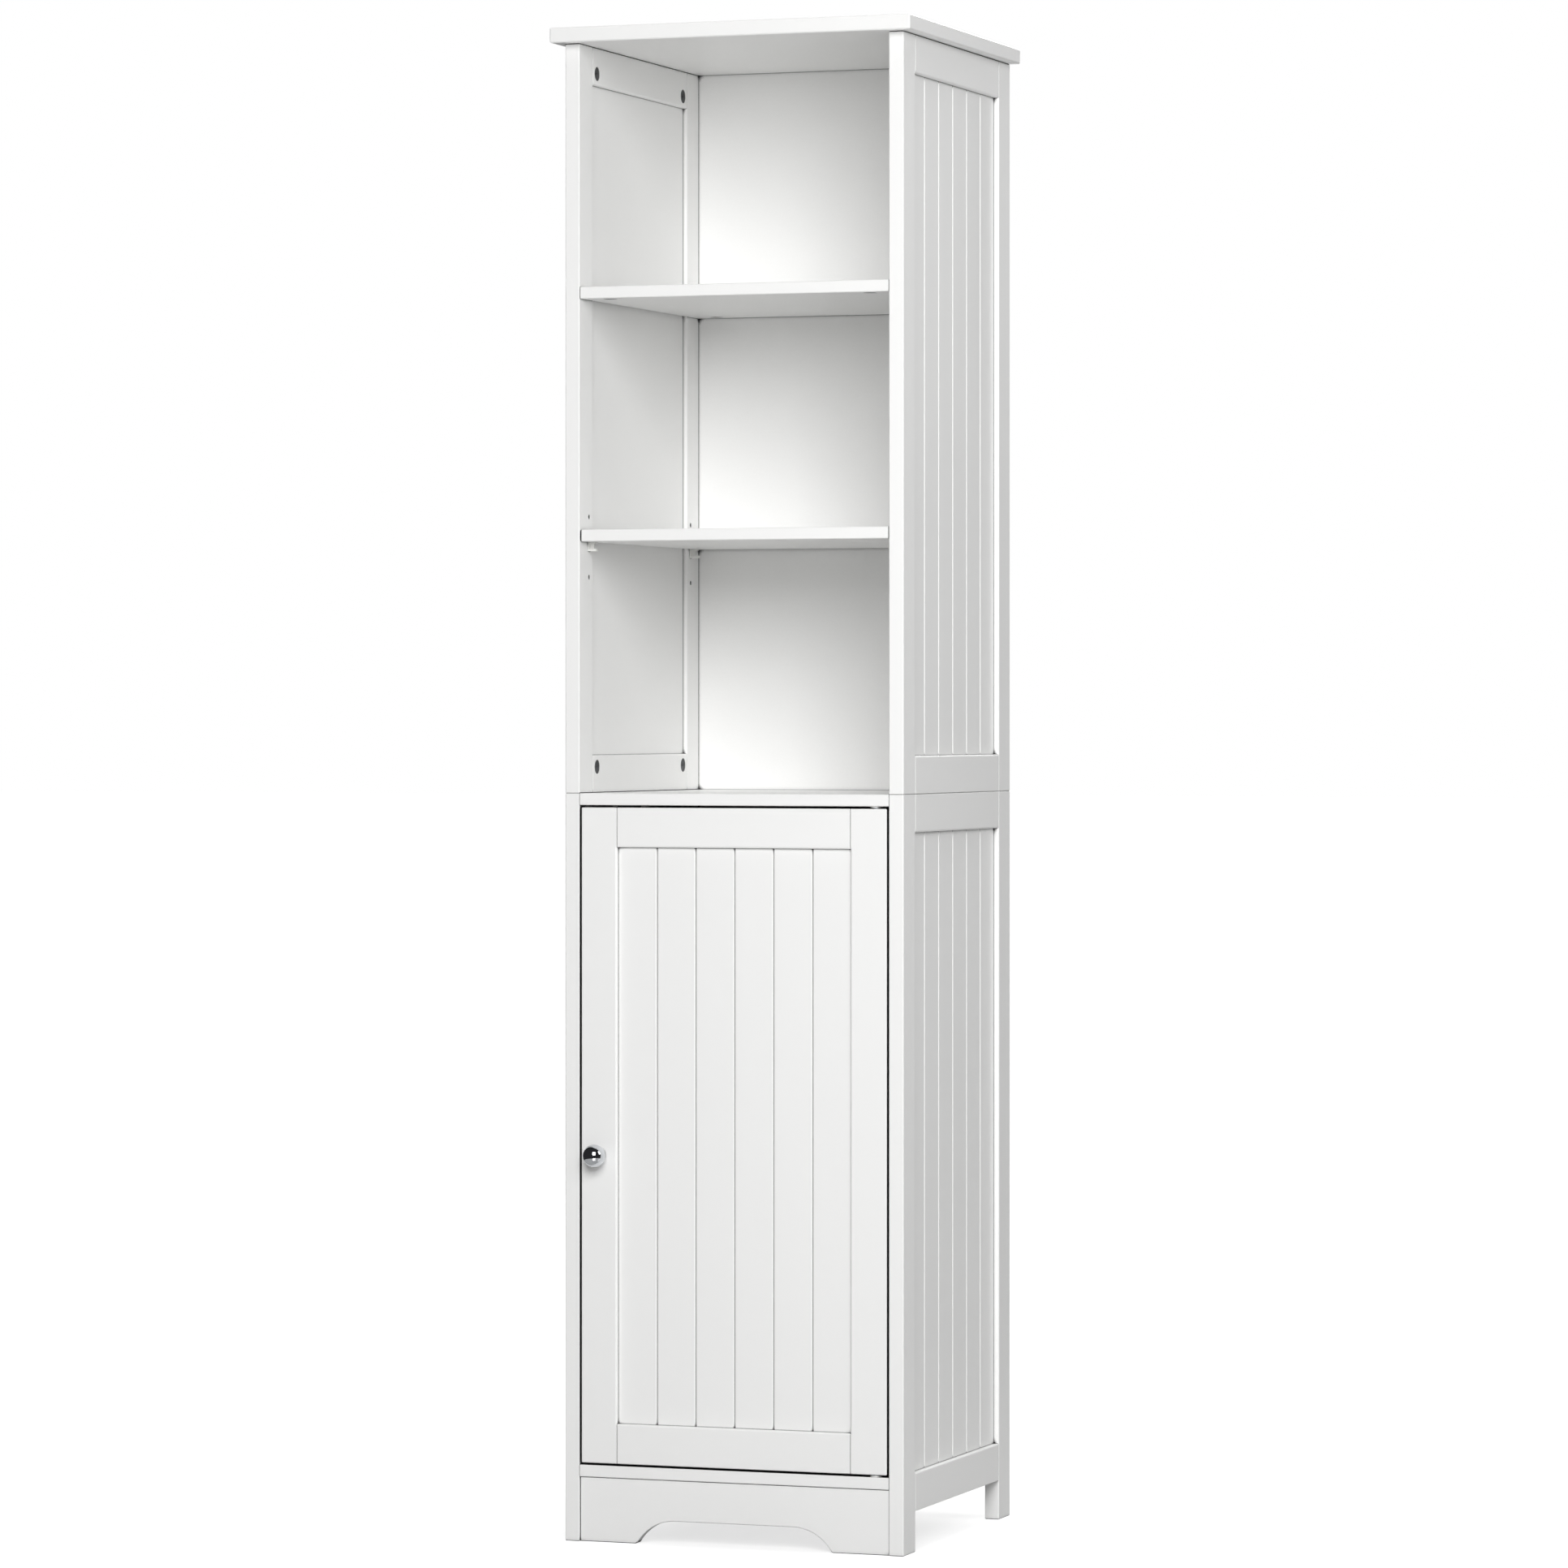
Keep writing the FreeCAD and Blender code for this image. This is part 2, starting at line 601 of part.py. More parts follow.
def pivot(name, door_end, board_face, board, into_board):
    """A shouldered pin in the end of the door and the flanged bush that it turns in."""
    shank = pin_shank_diameter / 2
    journal = pin_journal_diameter / 2
    collar = pin_collar_diameter / 2
    collar_height = door_gap - bush_flange_thickness - pivot_axial_clearance
    journal_end = door_gap + pin_journal_length
    seat = Vector(pivot_x, pivot_y, door_end)
    profile = [(0, -pin_shank_length), (shank, -pin_shank_length), (shank, 0), (collar, 0),
               (collar, collar_height), (journal, collar_height), (journal, journal_end), (0, journal_end)]
    add(f"{name}_pivot_pin", turned(profile, seat, into_board))
    shank_depth = pin_shank_length + hole_clearance
    cut_from("door_right_stile", bore(shank + hole_clearance, shank_depth, seat, -into_board))

    mouth = Vector(pivot_x, pivot_y, board_face)
    inside = journal + pivot_running_clearance
    outside = bush_diameter / 2
    flange = bush_flange_diameter / 2
    sleeve = [(inside, -bush_flange_thickness), (flange, -bush_flange_thickness), (flange, 0),
              (outside, 0), (outside, bush_length), (inside, bush_length)]
    add(f"{name}_pivot_bush", turned(sleeve, mouth, into_board))
    cut_from(board, bore(outside + hole_clearance, bush_length + hole_clearance, mouth, into_board))


def magnetic_catch():
    """Magnet between two pole plates in a housing under the deck, and a strike plate on the door."""
    x = -inner_x + door_gap + catch_inset + catch_width / 2
    y0 = door_back + strike_thickness + catch_gap
    z1 = deck_height
    middle_z = z1 - catch_height / 2
    half_catch = catch_width / 2
    housing = eased_box(x - half_catch, x + half_catch, y0, y0 + catch_depth, z1 - catch_height, z1)
    half_magnet = magnet_width / 2
    half_pocket = magnet_height / 2 + pole_thickness
    pocket = box(x - half_magnet - hole_clearance, x + half_magnet + hole_clearance, y0 - overrun,
                 y0 + magnet_depth + hole_clearance, middle_z - half_pocket - hole_clearance,
                 middle_z + half_pocket + hole_clearance)
    add("catch_housing", housing.cut(pocket))
    half_height = magnet_height / 2
    add("catch_magnet", box(x - half_magnet, x + half_magnet, y0 + edge_ease, y0 + magnet_depth,
                            middle_z - half_height, middle_z + half_height))
    for low in (middle_z - half_pocket, middle_z + half_height):
        add_to_group("catch_pole_plates", box(x - half_magnet, x + half_magnet, y0, y0 + magnet_depth,
                                              low, low + pole_thickness))
    reach = catch_height + board_thickness / 2
    for offset in (catch_screw_inset - half_catch, half_catch - catch_screw_inset):
        screw("catch_screws", ("catch_housing", "deck_board"),
              Vector(x + offset, y0 + catch_depth / 2, z1 - catch_height), UP, reach)

    half_strike = strike_width / 2
    add("strike_plate", box(x - half_strike, x + half_strike, door_back, door_back + strike_thickness,
                            middle_z - strike_height / 2, middle_z + strike_height / 2))
    screw("strike_screw", ("strike_plate", "door_top_rail"),
          Vector(x, door_back + strike_thickness, middle_z), FORWARD, door_thickness / 2)


def write_parts():
    os.makedirs("parts", exist_ok=True)
    for name, solid in pieces.items():
        shape = solid.cut(cuts[name]) if name in cuts else solid
        shape.exportStep(os.path.join("parts", f"{name}.step"))
    for name, solids in groups.items():
        if name in cuts:
            solids = [solid.cut(cuts[name]) for solid in solids]
        Part.makeCompound(solids).exportStep(os.path.join("parts", f"{name}.step"))


side_frame("upper", split_height, body_top, split_height, split_height)
side_frame("lower", leg_clearance, split_height, 0, bottom_board_height)
boards()
front_apron()
carcass_joints()
back_screws()
corner_blocks()
shelf_pins()
door()
knob()
pivot("top", door_top, deck_height, "deck_board", UP)
pivot("bottom", door_bottom, bottom_board_top, "bottom_board", DOWN)
magnetic_catch()
write_parts()
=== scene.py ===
import bpy
import math
from mathutils import Matrix, Vector


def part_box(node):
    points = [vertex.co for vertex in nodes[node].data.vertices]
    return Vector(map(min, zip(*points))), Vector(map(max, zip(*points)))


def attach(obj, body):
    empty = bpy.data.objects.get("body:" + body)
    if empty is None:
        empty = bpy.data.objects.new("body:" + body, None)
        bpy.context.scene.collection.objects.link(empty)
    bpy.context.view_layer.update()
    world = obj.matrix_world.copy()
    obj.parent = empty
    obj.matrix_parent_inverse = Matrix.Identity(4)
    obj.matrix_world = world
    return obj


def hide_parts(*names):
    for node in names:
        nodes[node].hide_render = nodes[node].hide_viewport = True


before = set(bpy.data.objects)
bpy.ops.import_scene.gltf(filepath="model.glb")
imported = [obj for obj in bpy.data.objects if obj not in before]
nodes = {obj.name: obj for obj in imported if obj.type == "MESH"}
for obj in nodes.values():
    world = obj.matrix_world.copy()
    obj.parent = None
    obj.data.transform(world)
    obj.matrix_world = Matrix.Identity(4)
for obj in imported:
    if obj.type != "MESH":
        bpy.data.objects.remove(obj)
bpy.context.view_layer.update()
bpy.ops.object.select_all(action="DESELECT")

# Side frames: four ladders of fibreboard stiles and rails, tongued together round a thin panel
# with routed bead grooves. They are primed and sprayed once glued, so the lacquer wraps the
# rounded edges of every opening.
mm = 0.001


def linear(hex_colour):
    """An sRGB hex colour as the linear colour that a shader socket takes."""
    shares = [int(hex_colour[start:start + 2], 16) / 255 for start in (1, 3, 5)]
    return [s / 12.92 if s <= 0.04045 else ((s + 0.055) / 1.055) ** 2.4 for s in shares] + [1.0]


def add_node(tree, kind, inputs, **properties):
    """Adds a shader node with its properties; an input is linked if it is given a socket, else set."""
    node = tree.nodes.new("ShaderNode" + kind)
    for name, value in properties.items():
        setattr(node, name, value)
    for name, value in inputs.items():
        if isinstance(value, bpy.types.NodeSocket):
            tree.links.new(value, node.inputs[name])
        else:
            node.inputs[name].default_value = value
    return node


def start_material(name):
    """A new material, its empty tree, and the place on the object that its patterns follow."""
    material = bpy.data.materials.new(name)
    material.use_nodes = True
    tree = material.node_tree
    tree.nodes.clear()
    return material, tree, add_node(tree, "TexCoord", {}).outputs["Object"]


def give_finish(material, *names):
    """Puts a material in every slot of the named nodes."""
    for name in names:
        for slot in nodes[name].material_slots:
            slot.material = material


# A Mix node has several sockets of each name, so those for colours go by their numbers.
mix_share = 0
mix_first = 6
mix_second = 7
mixed = 2
# Painted shade in gaps and joints: how much open air a point sees within a reach tells how narrow
# its gap or joint is, and the colour is darkened there as painted shade: it is dark at the one
# share and has its full colour at the other. Joint lines keep some colour.
gap_reach = 8 * mm
gap_dark = 0.38
gap_unshaded = 0.54
joint_reach = 1.2 * mm
joint_dark = 0.5
joint_unshaded = 0.92
joint_colour_kept = 0.2
air_samples = 8


def paint_joint_shade(tree, colour):
    """The colour with painted shade, dark inside narrow gaps and along joint lines."""
    gap = add_node(tree, "AmbientOcclusion", {"Distance": gap_reach}, samples=air_samples)
    open_air = add_node(tree, "MapRange", {"Value": gap.outputs["AO"], "From Min": gap_dark,
                                           "From Max": gap_unshaded})
    joint = add_node(tree, "AmbientOcclusion", {"Distance": joint_reach}, samples=air_samples)
    joint_light = add_node(tree, "MapRange", {"Value": joint.outputs["AO"], "From Min": joint_dark,
                                          "From Max": joint_unshaded, "To Min": joint_colour_kept,
                                          "To Max": 1.0})
    light_share = add_node(tree, "Math", {0: open_air.outputs["Result"], 1: joint_light.outputs["Result"]},
                     operation="MULTIPLY")
    # Painted shade: the colour goes to dark grey where a point sees little open air.
    shaded = add_node(tree, "Mix", {mix_share: light_share.outputs[0], mix_first: linear("#2c2c2c"),
                                    mix_second: colour}, data_type="RGBA")
    return shaded.outputs[mixed]


# Satin lacquer sprayed on fibreboard: a soft even sheen with no grain, a faint orange peel from
# the spray gun, and thicker and thinner passes that shift the sheen in broad patches.
# The peel is drawn coarser than the real half millimetre, so that it shows.
lacquer_pass = 120 * mm
lacquer_peel = 1.6 * mm
peel_height = 0.04 * mm
satin_lacquer, tree, place = start_material("satin_lacquer_on_fibreboard")
passes = add_node(tree, "TexNoise", {"Vector": place, "Scale": 1 / lacquer_pass, "Detail": 3.0})
colour = add_node(tree, "Mix", {mix_share: passes.outputs["Fac"], mix_first: linear("#fafaf9"),
                                mix_second: linear("#f8f8f7")}, data_type="RGBA")
sheen = add_node(tree, "MapRange", {"Value": passes.outputs["Fac"], "To Min": 0.36, "To Max": 0.46})
peel = add_node(tree, "TexNoise", {"Vector": place, "Scale": 1 / lacquer_peel, "Detail": 2.0})
relief = add_node(tree, "Bump", {"Height": peel.outputs["Fac"], "Strength": 0.25,
                                 "Distance": peel_height})
# Painted shade darkens the lacquer's colour in gaps and joint lines.
surface = add_node(tree, "BsdfPrincipled", {"Base Color": paint_joint_shade(tree, colour.outputs[mixed]),
                                            "Roughness": sheen.outputs["Result"],
                                            "Normal": relief.outputs["Normal"]})
add_node(tree, "OutputMaterial", {"Surface": surface.outputs["BSDF"]})
for tier in ("lower", "upper"):
    for side in ("left", "right"):
        for bar in ("front_stile", "rear_stile", "top_rail", "bottom_rail", "bead_panel"):
            give_finish(satin_lacquer, f"{tier}_{side}_{bar}")

# Boards: top, deck, bottom and shelves of fibreboard, faced and edged with white melamine film.
# Cams and dowels hold the fixed ones between the side frames; the loose shelves lie on pins.
# Melamine film: pressed against a polished plate, so smoother and glossier than the lacquer,
# with a slight waviness that only shows in reflections.
film_drift = 160 * mm
film_wave = 30 * mm
wave_height = 0.1 * mm
melamine, tree, place = start_material("white_melamine_film")
drift = add_node(tree, "TexNoise", {"Vector": place, "Scale": 1 / film_drift, "Detail": 2.0})
colour = add_node(tree, "Mix", {mix_share: drift.outputs["Fac"], mix_first: linear("#fcfcfb"),
                                mix_second: linear("#f9f9f8")}, data_type="RGBA")
sheen = add_node(tree, "MapRange", {"Value": drift.outputs["Fac"], "To Min": 0.26, "To Max": 0.32})
wave = add_node(tree, "TexNoise", {"Vector": place, "Scale": 1 / film_wave})
relief = add_node(tree, "Bump", {"Height": wave.outputs["Fac"], "Strength": 0.1,
                                 "Distance": wave_height})
# Painted shade darkens the film's colour in gaps and joint lines.
surface = add_node(tree, "BsdfPrincipled", {"Base Color": paint_joint_shade(tree, colour.outputs[mixed]),
                                            "Roughness": sheen.outputs["Result"],
                                            "Normal": relief.outputs["Normal"]})
add_node(tree, "OutputMaterial", {"Surface": surface.outputs["BSDF"]})
give_finish(melamine, "bottom_board", "deck_board", "fixed_shelf", "loose_shelf", "inner_shelf",
            "top_panel")

# Front apron: a fibreboard strip below the door with an arch cut in its lower edge, sprayed like
# the frames. It is dowelled between the front legs.
give_finish(satin_lacquer, "front_apron")

# Back panels: two sheets of thin hardboard, let into rebates of the rear stiles and screwed on.
# White-printed hardboard: the room side carries a white ground coat that shows a fine speckle of
# fibre. The wall side is left raw and brown, with longer fibres and darker flecks, and a painted
# dark line of shade where the sheets meet.
speckle = 1.8 * mm
fibre = 3.0 * mm
fibre_height = 0.08 * mm
fleck = 14 * mm
raw_from = 192.2 * mm
seam_shade_width = 0.7 * mm
sheets_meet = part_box("upper_back_panel")[0].z
hardboard, tree, place = start_material("white_printed_hardboard")
grain = add_node(tree, "TexNoise", {"Vector": place, "Scale": 1 / speckle, "Detail": 3.0,
                                    "Roughness": 0.7})
white_side = add_node(tree, "Mix", {mix_share: grain.outputs["Fac"], mix_first: linear("#fdfdfc"),
                                    mix_second: linear("#f7f7f6")}, data_type="RGBA")
strands = add_node(tree, "TexNoise", {"Vector": place, "Scale": 1 / fibre, "Detail": 5.0,
                                      "Roughness": 0.65, "Distortion": 1.2})
flecks = add_node(tree, "TexNoise", {"Vector": place, "Scale": 1 / fleck, "Detail": 6.0})
brown = add_node(tree, "ValToRGB", {0: strands.outputs["Fac"]})
brown.color_ramp.elements[0].position = 0.3
brown.color_ramp.elements[0].color = linear("#8d6b48")
brown.color_ramp.elements[1].position = 0.72
brown.color_ramp.elements[1].color = linear("#bd9b73")
worn = add_node(tree, "MapRange", {"Value": flecks.outputs["Fac"], "From Min": 0.56, "From Max": 0.72,
                                   "To Max": 0.35})
flecked = add_node(tree, "Mix", {mix_share: worn.outputs["Result"], mix_first: brown.outputs["Color"],
                                 mix_second: linear("#7a5a3a")}, data_type="RGBA")
axes = add_node(tree, "SeparateXYZ", {0: place})
# Painted shade: a dark line along the height where the sheets meet, on the raw side.
seam_shade = add_node(tree, "Math", {0: axes.outputs["Z"], 1: sheets_meet, 2: seam_shade_width},
                operation="COMPARE")
raw_side = add_node(tree, "Mix", {mix_share: seam_shade.outputs[0], mix_first: flecked.outputs[mixed],
                                  mix_second: linear("#33261a")}, data_type="RGBA")
rear = add_node(tree, "Math", {0: axes.outputs["Y"], 1: raw_from}, operation="GREATER_THAN")
colour = add_node(tree, "Mix", {mix_share: rear.outputs[0], mix_first: white_side.outputs[mixed],
                                mix_second: raw_side.outputs[mixed]}, data_type="RGBA")
sheen = add_node(tree, "MapRange", {"Value": rear.outputs[0], "To Min": 0.45, "To Max": 0.8})
relief = add_node(tree, "Bump", {"Height": strands.outputs["Fac"], "Strength": 0.3,
                                 "Distance": fibre_height})
# Painted shade darkens the hardboard's colour in gaps and joint lines.
surface = add_node(tree, "BsdfPrincipled", {"Base Color": paint_joint_shade(tree, colour.outputs[mixed]),
                                            "Roughness": sheen.outputs["Result"],
                                            "Normal": relief.outputs["Normal"]})
add_node(tree, "OutputMaterial", {"Surface": surface.outputs["BSDF"]})
give_finish(hardboard, "lower_back_panel", "upper_back_panel")

# Dowels: turned beech pegs that line up the boards, rails and apron with their neighbours. Each
# is glued half in one part and half in the other.
# Beech: pale pinkish wood with short dark flecks along the grain.
beech_fleck = 1.2 * mm
fleck_depth = 0.05 * mm
beech, tree, place = start_material("turned_beech")
rays = add_node(tree, "TexNoise", {"Vector": place, "Scale": 1 / beech_fleck, "Detail": 4.0,
                                   "Distortion": 0.8})
colour = add_node(tree, "Mix", {mix_share: rays.outputs["Fac"], mix_first: linear("#dcb990"),
                                mix_second: linear("#b98f63")}, data_type="RGBA")
relief = add_node(tree, "Bump", {"Height": rays.outputs["Fac"], "Strength": 0.3,
                                 "Distance": fleck_depth})
surface = add_node(tree, "BsdfPrincipled", {"Base Color": colour.outputs[mixed], "Roughness": 0.6,
                                            "Normal": relief.outputs["Normal"]})
add_node(tree, "OutputMaterial", {"Surface": surface.outputs["BSDF"]})
give_finish(beech, "wood_dowels")

# Cam bolts: steel pins screwed into one part of each joint, whose heads the cams in the other
# part pull.
# Zinc-plated steel: bright but a little hazy, with a faint blue cast and cloudy patches.
plating_cloud = 2.5 * mm
plated_steel, tree, place = start_material("zinc_plated_steel")
clouds = add_node(tree, "TexNoise", {"Vector": place, "Scale": 1 / plating_cloud, "Detail": 4.0})
colour = add_node(tree, "Mix", {mix_share: clouds.outputs["Fac"], mix_first: linear("#c3c6ca"),
                                mix_second: linear("#a6aab1")}, data_type="RGBA")
haze = add_node(tree, "MapRange", {"Value": clouds.outputs["Fac"], "To Min": 0.34, "To Max": 0.52})
surface = add_node(tree, "BsdfPrincipled", {"Base Color": colour.outputs[mixed], "Metallic": 1.0,
                                            "Roughness": haze.outputs["Result"]})
add_node(tree, "OutputMaterial", {"Surface": surface.outputs["BSDF"]})
give_finish(plated_steel, "cam_bolts")

# Cam locks: zinc castings that a screwdriver turns in drilled pockets, a little below the surface.
# Die-cast zinc: dull grey with a cloudy, slightly pitted skin, painted darker than real zinc as
# shade of the pockets it sits in.
cast_edge = 0.25 * mm
cast_skin = 0.9 * mm
skin_depth = 0.08 * mm
zinc, tree, place = start_material("die_cast_zinc")
skin = add_node(tree, "TexNoise", {"Vector": place, "Scale": 1 / cast_skin, "Detail": 5.0})
# The greys are darker than real zinc: painted shade of the pockets.
colour = add_node(tree, "Mix", {mix_share: skin.outputs["Fac"], mix_first: linear("#77787a"),
                                mix_second: linear("#4a4b4d")}, data_type="RGBA")
haze = add_node(tree, "MapRange", {"Value": skin.outputs["Fac"], "To Min": 0.42, "To Max": 0.62})
relief = add_node(tree, "Bump", {"Height": skin.outputs["Fac"], "Strength": 0.4,
                                 "Distance": skin_depth})
surface = add_node(tree, "BsdfPrincipled", {"Base Color": colour.outputs[mixed], "Metallic": 1.0,
                                            "Roughness": haze.outputs["Result"],
                                            "Normal": relief.outputs["Normal"]})
add_node(tree, "OutputMaterial", {"Surface": surface.outputs["BSDF"]})
same_point = 0.001 * mm
flat_angle = math.radians(1)
sharp_angle = math.radians(40)


def pick_only(piece):
    """Selects one piece alone, for the operators that act on what is selected."""
    bpy.ops.object.select_all(action="DESELECT")
    bpy.context.view_layer.objects.active = piece
    piece.select_set(True)


def own_copy(node, name):
    """A copy of a node's mesh as a new piece with its triangles merged into one skin."""
    piece = bpy.data.objects.new(name, nodes[node].data.copy())
    piece.data.name = name
    bpy.context.scene.collection.objects.link(piece)
    pick_only(piece)
    bpy.ops.mesh.customdata_custom_splitnormals_clear()
    bpy.ops.object.mode_set(mode="EDIT")
    bpy.ops.mesh.select_all(action="SELECT")
    bpy.ops.mesh.remove_doubles(threshold=same_point)
    bpy.ops.mesh.dissolve_limited(angle_limit=flat_angle)
    bpy.ops.object.mode_set(mode="OBJECT")
    return piece


def rounded_copy(node, name, radius):
    """A copy of a node with its sharp edges rounded, as casting, moulding or stamping leaves them."""
    piece = own_copy(node, name)
    bevel = piece.modifiers.new("edges", "BEVEL")
    bevel.width = radius
    bevel.segments = 2
    bevel.limit_method = "ANGLE"
    bevel.angle_limit = sharp_angle
    bpy.ops.object.modifier_apply(modifier=bevel.name)
    bpy.ops.object.shade_smooth_by_angle(angle=sharp_angle)
    return piece


def fit_piece(piece, material, body, node):
    """Finishes a piece that stands for a node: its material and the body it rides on."""
    piece.data.materials.clear()
    piece.data.materials.append(material)
    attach(piece, body)
    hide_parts(node)


fit_piece(rounded_copy("cam_locks", "cam_discs", cast_edge), zinc, "carcass",
          "cam_locks")

# Back screws: small countersunk screws of plated steel, driven flush through the back panels into
# the boards and rear stiles. The thread is drawn as rings, which look the same at this size.
head_radius = 3.0 * mm
head_height = 1.8 * mm
head_rim = 0.2 * mm
thread_radius = 1.5 * mm
root_radius = 1.05 * mm
thread_pitch = 1.2 * mm
bare_shank = 1.0 * mm
tip_length = 2.2 * mm
recess_length = 3.4 * mm
recess_width = 0.9 * mm
recess_depth = 1.3 * mm
recess_taper = 0.55
screw_facets = 20
lathe_point = 0.002 * mm
length_digits = 6
forwards = Vector((0, -1, 0))
upwards = Vector((0, 0, 1))


def turned(name, profile, facets):
    """A shape turned on a lathe about +Z; the profile lists its points as (radius, height)."""
    bpy.ops.object.select_all(action="DESELECT")
    bpy.ops.mesh.primitive_plane_add(size=mm)
    piece = bpy.context.object
    piece.name = piece.data.name = name
    bpy.ops.object.mode_set(mode="EDIT")
    bpy.ops.mesh.merge(type="CENTER")
    bpy.ops.transform.translate(value=(profile[0][0], 0, profile[0][1]))
    for (radius, height), (next_radius, next_height) in zip(profile, profile[1:]):
        step = (next_radius - radius, 0, next_height - height)
        bpy.ops.mesh.extrude_region_move(TRANSFORM_OT_translate={"value": step})
    bpy.ops.mesh.select_all(action="SELECT")
    bpy.ops.mesh.spin(steps=facets, angle=2 * math.pi, center=(0, 0, 0), axis=(0, 0, 1))
    bpy.ops.mesh.select_all(action="SELECT")
    bpy.ops.mesh.remove_doubles(threshold=lathe_point)
    bpy.ops.mesh.normals_make_consistent(inside=False)
    bpy.ops.object.mode_set(mode="OBJECT")
    bpy.ops.object.shade_smooth_by_angle(angle=sharp_angle)
    return piece


def press_cross(piece, length, width, depth):
    """Presses a cross recess for a screwdriver, narrower at its bottom, into the face at height zero."""
    for turn in (0, math.pi / 2):
        bpy.ops.object.select_all(action="DESELECT")
        bpy.ops.mesh.primitive_cube_add(size=1, rotation=(0, 0, turn), scale=(length, width, 2 * depth))
        punch = bpy.context.object
        bpy.ops.object.transform_apply(location=True, rotation=True, scale=True)
        bpy.ops.object.mode_set(mode="EDIT")
        bpy.ops.mesh.select_all(action="DESELECT")
        bpy.ops.object.mode_set(mode="OBJECT")
        for point in punch.data.vertices:
            point.select = point.co.z > 0
        bpy.ops.object.mode_set(mode="EDIT")
        bpy.ops.transform.resize(value=(recess_taper, recess_taper, 1))
        bpy.ops.object.mode_set(mode="OBJECT")
        press = piece.modifiers.new("recess", "BOOLEAN")
        press.object = punch
        bpy.context.view_layer.objects.active = piece
        bpy.ops.object.modifier_apply(modifier=press.name)
        bpy.data.objects.remove(punch)


def wood_screw(length):
    """A countersunk wood screw, its head's face at height zero and its point along +Z."""
    profile = [(0, 0), (head_radius - head_rim, 0), (head_radius, head_rim),
               (thread_radius, head_height), (root_radius, head_height + bare_shank)]
    height = head_height + bare_shank
    while height + thread_pitch < length - tip_length:
        profile += [(thread_radius, height + thread_pitch / 2), (root_radius, height + thread_pitch)]
        height += thread_pitch
    profile += [(root_radius, length - tip_length), (0, length)]
    screw = turned("wood_screw", profile, screw_facets)
    press_cross(screw, recess_length, recess_width, recess_depth)
    return screw


def solid_boxes(node):
    """The lowest and highest corner of each separate solid in a node."""
    own_copy(node, "solids")
    bpy.ops.object.mode_set(mode="EDIT")
    bpy.ops.mesh.separate(type="LOOSE")
    bpy.ops.object.mode_set(mode="OBJECT")
    boxes = []
    for part in list(bpy.context.selected_objects):
        places = [point.co for point in part.data.vertices]
        boxes.append((Vector(map(min, zip(*places))), Vector(map(max, zip(*places)))))
        bpy.data.objects.remove(part)
    return sorted(boxes, key=lambda box: tuple(box[0]))


def set_along(piece, start, direction):
    """Sets a piece that was made along +Z at a start and direction, with its place in its mesh."""
    turn = upwards.rotation_difference(direction).to_matrix().to_4x4()
    piece.matrix_world = Matrix.Translation(start) @ turn
    pick_only(piece)
    bpy.ops.object.transform_apply(location=True, rotation=True, scale=True)


def rear_middle(low, high):
    """The middle of the rear face of a box, given by its lowest and highest corners."""
    return Vector(((low.x + high.x) / 2, high.y, (low.z + high.z) / 2))


def lower_middle(low, high):
    """The middle of the lower face of a box, given by its lowest and highest corners."""
    return Vector(((low.x + high.x) / 2, (low.y + high.y) / 2, low.z))


def drive_screws(node, name):
    """Wood screws in the places of a node's screws: heads at the rear, or below for upright ones.

    Lengths are rounded to a thousandth of a millimetre, so that equal screws share one pattern."""
    driven = []
    made = {}
    for low, high in solid_boxes(node):
        size = high - low
        length = round(max(size.y, size.z), length_digits)
        if length not in made:
            made[length] = wood_screw(length)
        screw = made[length].copy()
        screw.data = made[length].data.copy()
        bpy.context.scene.collection.objects.link(screw)
        if size.z > size.y:
            set_along(screw, lower_middle(low, high), upwards)
        else:
            set_along(screw, rear_middle(low, high), forwards)
        driven.append(screw)
    for pattern in made.values():
        bpy.data.objects.remove(pattern)
    pick_only(driven[0])
    for screw in driven:
        screw.select_set(True)
    if len(driven) > 1:
        bpy.ops.object.join()
    driven[0].name = driven[0].data.name = name
    return driven[0]


fit_piece(drive_screws("back_screws", "back_panel_screws"), plated_steel, "carcass",
          "back_screws")

# Corner blocks: white moulded blocks behind the apron, each screwed to the apron and the board.
# Moulded white plastic: smooth with a fine spark-eroded texture, slightly warmer than the lacquer.
block_edge = 0.8 * mm
mould_texture = 0.8 * mm
texture_depth = 0.03 * mm
plastic, tree, place = start_material("moulded_white_plastic")
texture = add_node(tree, "TexNoise", {"Vector": place, "Scale": 1 / mould_texture, "Detail": 2.0})
colour = add_node(tree, "Mix", {mix_share: texture.outputs["Fac"], mix_first: linear("#f5f5f2"),
                                mix_second: linear("#efefeb")}, data_type="RGBA")
relief = add_node(tree, "Bump", {"Height": texture.outputs["Fac"], "Strength": 0.3,
                                 "Distance": texture_depth})
surface = add_node(tree, "BsdfPrincipled", {"Base Color": colour.outputs[mixed], "Roughness": 0.38,
                                            "Normal": relief.outputs["Normal"]})
add_node(tree, "OutputMaterial", {"Surface": surface.outputs["BSDF"]})
fit_piece(rounded_copy("corner_blocks", "moulded_corner_blocks", block_edge), plastic, "carcass",
          "corner_blocks")
fit_piece(drive_screws("block_screws", "corner_block_screws"), plated_steel, "carcass",
          "block_screws")

# Shelf pins: white moulded brackets with a round plug in the stile, a ledge under the loose shelf
# and a web below the ledge. They are pushed in by hand.
pin_edge = 0.3 * mm
fit_piece(rounded_copy("shelf_pins", "moulded_shelf_pins", pin_edge), plastic, "carcass",
          "shelf_pins")

# Door: a frame-and-panel leaf of fibreboard like the side frames, glued up from two stiles, two
# rails and a beaded panel, and sprayed the same satin white.
give_finish(satin_lacquer, "door_left_stile", "door_right_stile", "door_top_rail",
            "door_bottom_rail", "door_bead_panel")

